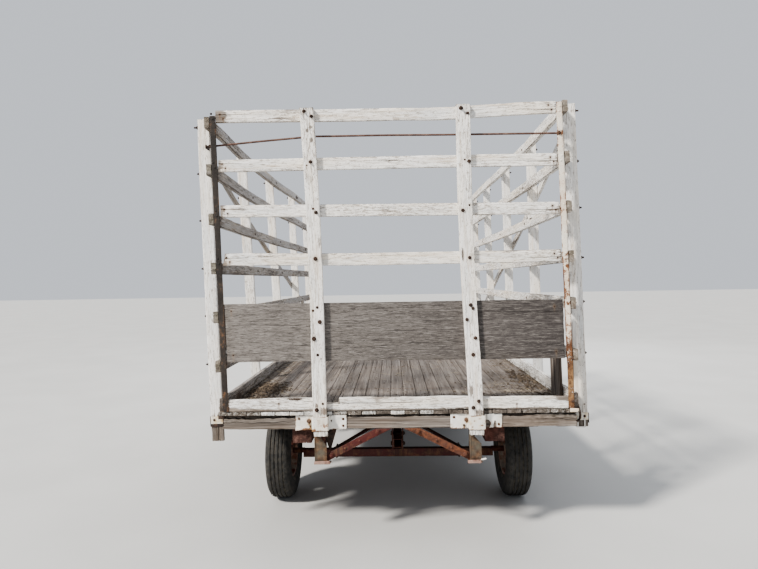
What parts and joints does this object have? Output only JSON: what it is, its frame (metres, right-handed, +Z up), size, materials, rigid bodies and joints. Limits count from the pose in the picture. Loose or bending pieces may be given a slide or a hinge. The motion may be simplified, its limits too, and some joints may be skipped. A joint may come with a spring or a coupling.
{
  "type": "hay wagon",
  "caption": "Four-wheel hay wagon with a tall slatted rack on three sides, an open front, auto-steer front axle and a drop tongue.",
  "frame": {"origin": "on the ground under the middle of the whole wagon, tongue included", "axes": "+X to the wagon's right, +Y to its front along the bed, +Z up"},
  "size_m": [2.7098, 6.5104, 2.9886],
  "materials": {
    "deck_wood": "weathered boards",
    "grey_wood": "weathered timber",
    "white_wood": "peeling white paint",
    "panel_wood": "weathered plywood",
    "painted_steel": "flaking white paint over rust",
    "rusty_steel": "rusted",
    "red_steel": "faded red paint, rusty",
    "wheel_steel": "faded paint, dusty and rusty",
    "tyre": "dusty rubber"
  },
  "bodies": {
    "root": {"floor_boards": "deck_wood", "cross_joists": "grey_wood", "main_sills": "grey_wood", "rear_end_beam": "grey_wood", "front_end_beam": "grey_wood", "side_posts_left": "white_wood", "side_posts_right": "white_wood", "side_rails_left": "white_wood", "side_rails_right": "white_wood", "toe_board_left": "white_wood", "toe_board_right": "white_wood", "side_brace_left": "white_wood", "side_brace_right": "white_wood", "post_clips": "painted_steel", "side_patch_plank": "grey_wood", "end_uprights": "white_wood", "end_rails": "white_wood", "end_panel": "panel_wood", "end_bottom_rail": "white_wood", "end_stile_left": "rusty_steel", "end_stile_right": "painted_steel", "upright_pockets": "painted_steel", "pocket_gussets": "rusty_steel", "pocket_braces": "rusty_steel", "cross_tie_rod": "rusty_steel", "rear_axle": "red_steel", "rear_bolster": "red_steel", "front_axle": "red_steel", "front_bolster": "red_steel", "reach_pole": "red_steel", "reach_braces": "red_steel", "bolster_stakes": "red_steel"},
    "steer": {"steer_plate": "red_steel"},
    "tongue": {"tongue_pole": "red_steel", "tongue_hitch": "rusty_steel"},
    "knuckle_l": {"knuckle_left": "red_steel"},
    "knuckle_r": {"knuckle_right": "red_steel"},
    "rod_l": {"tie_rod_left": "rusty_steel"},
    "rod_r": {"tie_rod_right": "rusty_steel"},
    "wheel_rl": {"tyre_rl": "tyre", "rim_rl": "wheel_steel"},
    "wheel_rr": {"tyre_rr": "tyre", "rim_rr": "wheel_steel"},
    "wheel_fl": {"tyre_fl": "tyre", "rim_fl": "wheel_steel"},
    "wheel_fr": {"tyre_fr": "tyre", "rim_fr": "wheel_steel"}
  },
  "joints": [
    {"name": "steer_turn", "type": "hinge", "parent": "root", "child": "steer", "pos_m": [0, 0.791, 0.35], "axis": [0, 0, 1], "range_deg": [-28, 28]},
    {"name": "tongue_lift", "type": "hinge", "parent": "steer", "child": "tongue", "pos_m": [0, 1.041, 0.35], "axis": [1, 0, 0], "range_deg": [0, 30]},
    {"name": "rod_l_swing", "type": "hinge", "parent": "steer", "child": "rod_l", "pos_m": [-0.045, 0.921, 0.328], "axis": [0, 0, 1], "range_deg": [-28, 28]},
    {"name": "rod_r_swing", "type": "hinge", "parent": "steer", "child": "rod_r", "pos_m": [0.045, 0.921, 0.328], "axis": [0, 0, 1], "range_deg": [-28, 28]},
    {"name": "knuckle_l_turn", "type": "hinge", "parent": "root", "child": "knuckle_l", "pos_m": [-0.76, 0.706, 0.352], "axis": [0, 0, 1], "range_deg": [-28, 28]},
    {"name": "knuckle_r_turn", "type": "hinge", "parent": "root", "child": "knuckle_r", "pos_m": [0.76, 0.706, 0.352], "axis": [0, 0, 1], "range_deg": [-28, 28]},
    {"name": "wheel_rl_spin", "type": "hinge", "parent": "root", "child": "wheel_rl", "pos_m": [-0.95, -2.244, 0.372], "axis": [1, 0, 0], "continuous": true},
    {"name": "wheel_rr_spin", "type": "hinge", "parent": "root", "child": "wheel_rr", "pos_m": [0.95, -2.244, 0.372], "axis": [1, 0, 0], "continuous": true},
    {"name": "wheel_fl_spin", "type": "hinge", "parent": "knuckle_l", "child": "wheel_fl", "pos_m": [-0.95, 0.706, 0.372], "axis": [1, 0, 0], "continuous": true},
    {"name": "wheel_fr_spin", "type": "hinge", "parent": "knuckle_r", "child": "wheel_fr", "pos_m": [0.95, 0.706, 0.372], "axis": [1, 0, 0], "continuous": true}
  ],
  "couplings": [
    {"joint": "knuckle_l_turn", "follows": "steer_turn", "ratio": 1},
    {"joint": "knuckle_r_turn", "follows": "steer_turn", "ratio": 1},
    {"joint": "rod_l_swing", "follows": "steer_turn", "ratio": -1},
    {"joint": "rod_r_swing", "follows": "steer_turn", "ratio": -1}
  ]
}
